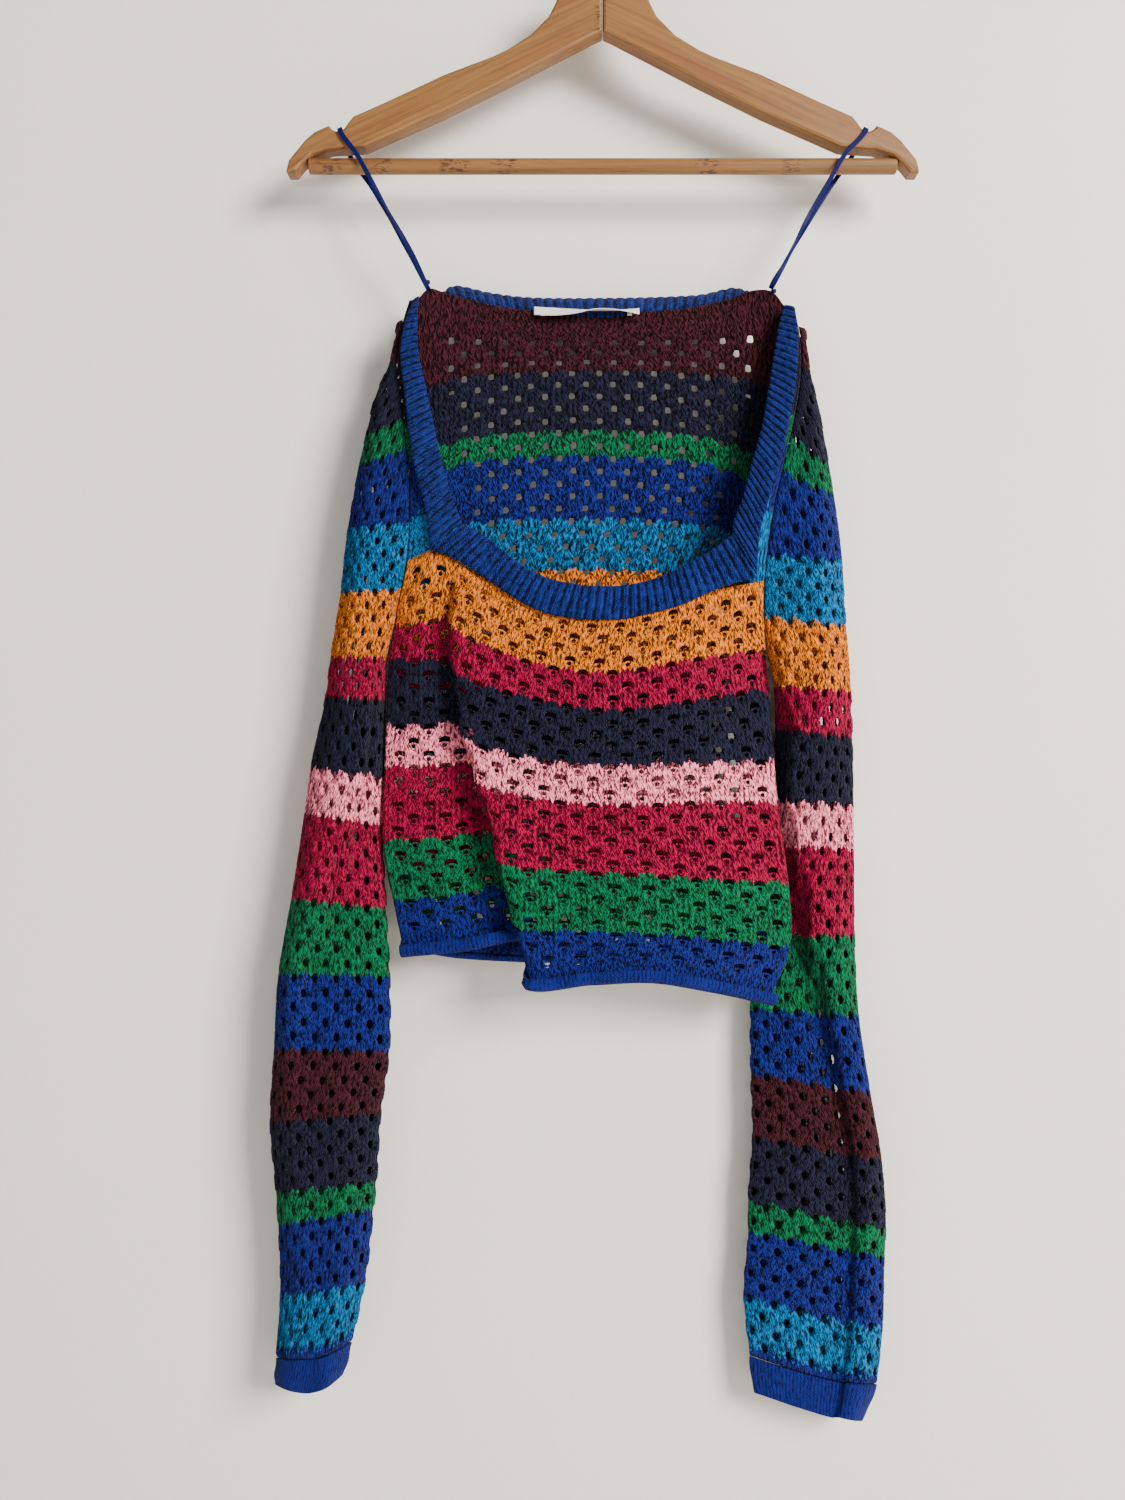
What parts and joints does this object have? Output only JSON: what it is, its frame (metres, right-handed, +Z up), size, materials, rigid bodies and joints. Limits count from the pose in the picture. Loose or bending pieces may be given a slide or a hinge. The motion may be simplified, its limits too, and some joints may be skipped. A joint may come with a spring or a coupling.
{
  "type": "crochet sweater on a wooden hanger",
  "caption": "Striped lace-knit sweater with a wide ribbed neck, hung by two ribbon loops from a flat wooden hanger with a bar and a wire hook.",
  "frame": {"origin": "inside top of the hook, where it rests on a rail", "axes": "+X to the right seen from the front, +Y from the front to the back (into the wall), +Z up"},
  "size_m": [0.4479, 0.0693, 1.0787],
  "materials": {
    "lace": "soft lace knit in stripes of maroon, navy, green, royal blue, cyan, orange, magenta and pink",
    "plain_knit": "plain royal blue knit",
    "rib_knit": "ribbed royal blue knit",
    "label": "bare white woven strip",
    "satin": "navy satin ribbon",
    "beech": "pale beech under clear satin lacquer",
    "wire": "bright plated wire"
  },
  "bodies": {
    "root": {"front_panel": "lace", "back_panel": "lace", "sleeve_left": "lace", "sleeve_right": "lace", "cuff_left": "plain_knit", "cuff_right": "plain_knit", "hem_roll_front": "plain_knit", "hem_roll_back": "plain_knit", "neckband_front": "rib_knit", "neckband_left": "rib_knit", "neckband_right": "rib_knit", "neckband_back": "rib_knit", "neck_label": "label", "ribbon_left": "satin", "ribbon_right": "satin", "hanger_arm_left": "beech", "hanger_arm_right": "beech", "hanger_bar": "beech", "hanger_hook": "wire"}
  },
  "joints": []
}
